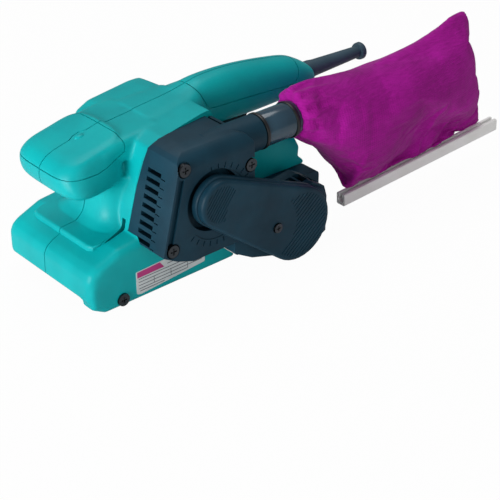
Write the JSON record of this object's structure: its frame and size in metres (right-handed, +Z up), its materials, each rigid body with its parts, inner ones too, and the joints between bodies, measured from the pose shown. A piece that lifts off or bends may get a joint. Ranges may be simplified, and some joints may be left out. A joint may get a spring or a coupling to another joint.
{
  "type": "handheld belt sander",
  "caption": "Handheld belt sander with front palm grip, rear handle with trigger, transverse motor, side belt drive and a dust bag on a side nozzle.",
  "frame": {"origin": "On the sanding face, midway between the two roller axes and in the middle of the belt's width", "axes": "+X points from the nose to the cord end, +Y to the open side where the belt slides off, +Z up from the work"},
  "size_m": [0.4259, 0.1464, 0.143],
  "materials": {
    "teal_plastic": "moulded glass-filled nylon with a fine satin grain",
    "slate_plastic": "dark blue-grey moulded nylon, satin",
    "cuff_plastic": "smooth glossy dark tube",
    "black_plastic": "black moulded plastic",
    "steel": "turned and ground steel",
    "spring_steel": "drawn spring wire",
    "screw_steel": "blackened steel screws",
    "aluminium": "die-cast and turned aluminium",
    "rubber": "bonded roller rubber",
    "guard_rubber": "soft moulded cord guard",
    "belt_rubber": "toothed drive belt",
    "abrasive": "cloth belt coated with maroon-brown aluminium oxide grit",
    "cork": "pressed cork",
    "copper": "enamelled copper wire and copper bars",
    "brass": "stamped brass",
    "carbon": "pressed carbon",
    "bag_cloth": "woven magenta-purple cotton",
    "rail_plastic": "off-white extruded plastic",
    "ring_plastic": "pale grey-lilac binding ring",
    "label_film": "pale printed film with a magenta band and plain rules"
  },
  "bodies": {
    "machine": {"housing_left": "teal_plastic", "housing_right": "teal_plastic", "fan_housing": "slate_plastic", "fan_baffle": "black_plastic", "drive_frame": "slate_plastic", "belt_cover": "slate_plastic", "rating_label": "label_film", "shoe": "aluminium", "cork_pad": "cork", "sole_plate": "steel", "sanding_belt": "abrasive", "timing_belt": "belt_rubber", "stator_core": "steel", "field_coils": "copper", "brush_holders": "brass", "carbon_brushes": "carbon", "brush_caps": "black_plastic", "bearing_brush_end": "steel", "bearing_drive_end": "steel", "roller_bearings": "steel", "switch_body": "black_plastic", "cord_guard": "guard_rubber", "cord_clamp": "black_plastic", "case_screws": "screw_steel", "fan_housing_screws": "screw_steel", "cover_screw": "screw_steel", "shoe_screws": "screw_steel", "clamp_screws": "screw_steel", "frame_screws": "screw_steel", "tension_spring": "spring_steel", "lever_pin": "steel", "trigger_pin": "steel"},
    "armature": {"armature_shaft": "steel", "armature_core": "steel", "armature_windings": "copper", "commutator": "copper", "cooling_fan": "black_plastic", "dust_fan": "black_plastic", "motor_pulley": "steel"},
    "drive_roller_set": {"drive_shaft": "steel", "drive_roller": "aluminium", "roller_sleeve": "rubber", "roller_pulley": "aluminium", "pulley_nut": "steel"},
    "carriage": {"yoke_carriage": "steel"},
    "yoke": {"roller_yoke": "steel", "front_axle": "steel"},
    "front_roller_set": {"front_roller": "aluminium"},
    "tension_lever_set": {"tension_lever": "black_plastic"},
    "tracking_screw_set": {"tracking_screw": "screw_steel"},
    "trigger_set": {"trigger": "black_plastic"},
    "lock_button_set": {"lock_button": "black_plastic"},
    "cuff_set": {"bag_cuff": "cuff_plastic", "cuff_rings": "black_plastic"},
    "bag_set": {"dust_bag": "bag_cloth", "bag_ring": "ring_plastic"},
    "rail_set": {"bag_rail": "rail_plastic"}
  },
  "joints": [
    {"name": "drive_roller_spin", "type": "hinge", "parent": "machine", "child": "drive_roller_set", "pos_m": [0.074, 0, 0.03295], "axis": [0, 1, 0], "continuous": true},
    {"name": "armature_spin", "type": "hinge", "parent": "machine", "child": "armature", "pos_m": [-0.003, 0, 0.0777], "axis": [0, 1, 0], "continuous": true},
    {"name": "carriage_slide", "type": "slide", "parent": "machine", "child": "carriage", "axis": [1, 0, 0], "range_m": [0, 0.006], "stiffness_N_per_m": 900, "deforming": ["tension_spring"]},
    {"name": "yoke_tracking", "type": "hinge", "parent": "carriage", "child": "yoke", "pos_m": [-0.04, 0, 0.017], "axis": [0, 0, 1], "range_deg": [-0.5, 0.5]},
    {"name": "front_roller_spin", "type": "hinge", "parent": "yoke", "child": "front_roller_set", "pos_m": [-0.074, 0, 0.01745], "axis": [0, 1, 0], "continuous": true},
    {"name": "tension_lever_swing", "type": "hinge", "parent": "machine", "child": "tension_lever_set", "pos_m": [-0.012, 0.026, 0.012], "axis": [0, 0, 1], "range_deg": [0, 60]},
    {"name": "tracking_screw_turn", "type": "hinge", "parent": "machine", "child": "tracking_screw_set", "pos_m": [-0.0685, -0.058, 0.0065], "axis": [0, 1, 0], "range_deg": [-90, 90]},
    {"name": "trigger_pull", "type": "hinge", "parent": "machine", "child": "trigger_set", "pos_m": [0.07, 0, 0.1], "axis": [0, -1, 0], "range_deg": [0, 7], "stiffness_Nm_per_rad": 0.6, "springref_deg": -5.73},
    {"name": "lock_button_press", "type": "slide", "parent": "machine", "child": "lock_button_set", "axis": [0, -1, 0], "range_m": [0, 0.003], "stiffness_N_per_m": 300, "springref_m": -0.002},
    {"name": "cuff_pull", "type": "slide", "parent": "machine", "child": "cuff_set", "axis": [1, 0, 0], "range_m": [0, 0.03]},
    {"name": "bag_swivel", "type": "hinge", "parent": "cuff_set", "child": "bag_set", "pos_m": [0.0885, -0.066, 0.107], "axis": [1, 0, 0], "range_deg": [-100, 0]},
    {"name": "rail_slide", "type": "slide", "parent": "bag_set", "child": "rail_set", "axis": [0.9988, 0, 0.0489], "range_m": [0, 0.185]}
  ],
  "couplings": [
    {"joint": "armature_spin", "follows": "drive_roller_spin", "ratio": 3.3333},
    {"joint": "front_roller_spin", "follows": "drive_roller_spin", "ratio": 1.9144},
    {"joint": "tension_lever_swing", "follows": "carriage_slide", "rad_per_m": 174.53},
    {"joint": "tracking_screw_turn", "follows": "yoke_tracking", "ratio": -180}
  ]
}
